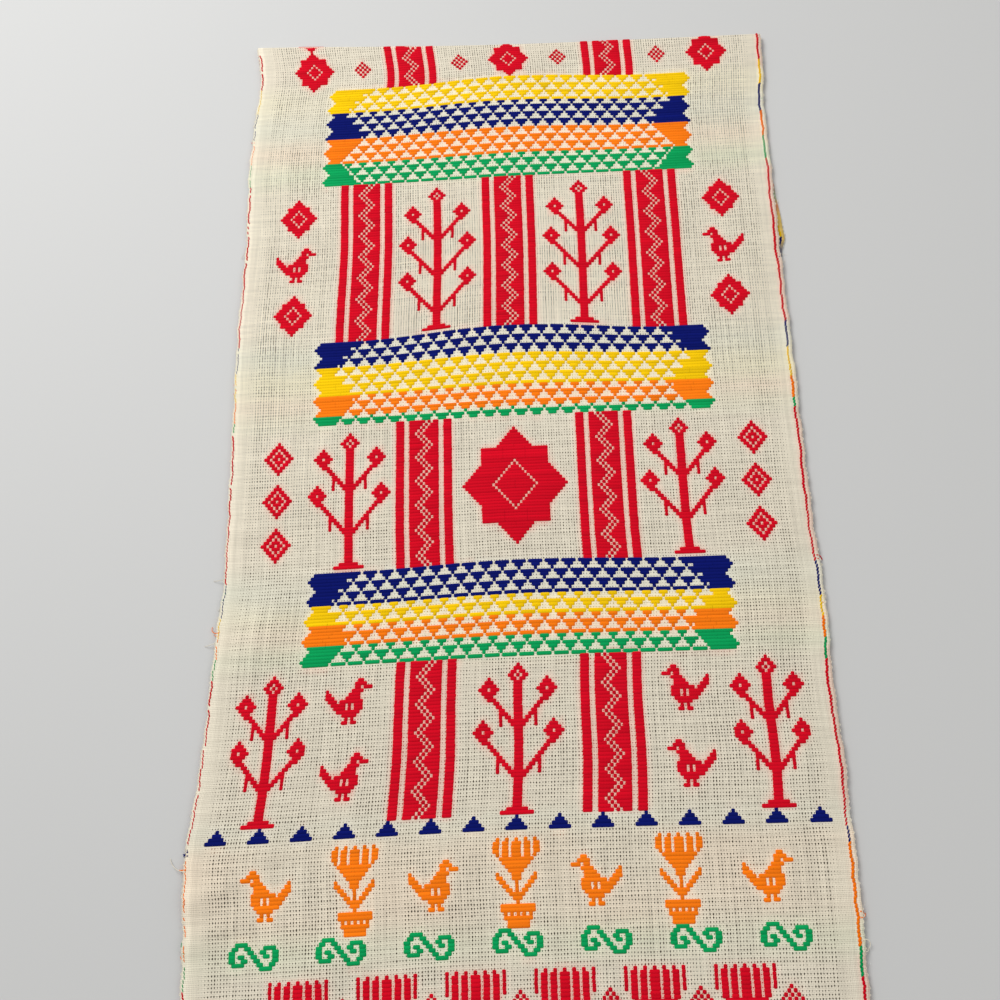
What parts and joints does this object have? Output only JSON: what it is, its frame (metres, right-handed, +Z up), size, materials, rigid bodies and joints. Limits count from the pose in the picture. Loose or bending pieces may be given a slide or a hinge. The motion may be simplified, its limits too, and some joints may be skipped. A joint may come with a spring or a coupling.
{
  "type": "woven table runner",
  "caption": "Cotton table runner with brocaded bands and figures, folded once across its width and lying flat with its fold at the far end.",
  "frame": {"origin": "middle of the folded runner's footprint, on the surface that it lies on", "axes": "+X across the runner to the right, +Y along it towards its fold, +Z up out of its face"},
  "size_m": [0.3546, 0.6999, 0.0055],
  "materials": {
    "cotton": "undyed coarse plain-weave cotton, matt, brocaded with red, yellow, orange, green and navy yarn"
  },
  "bodies": {
    "root": {"runner_cloth": "cotton"}
  },
  "joints": []
}
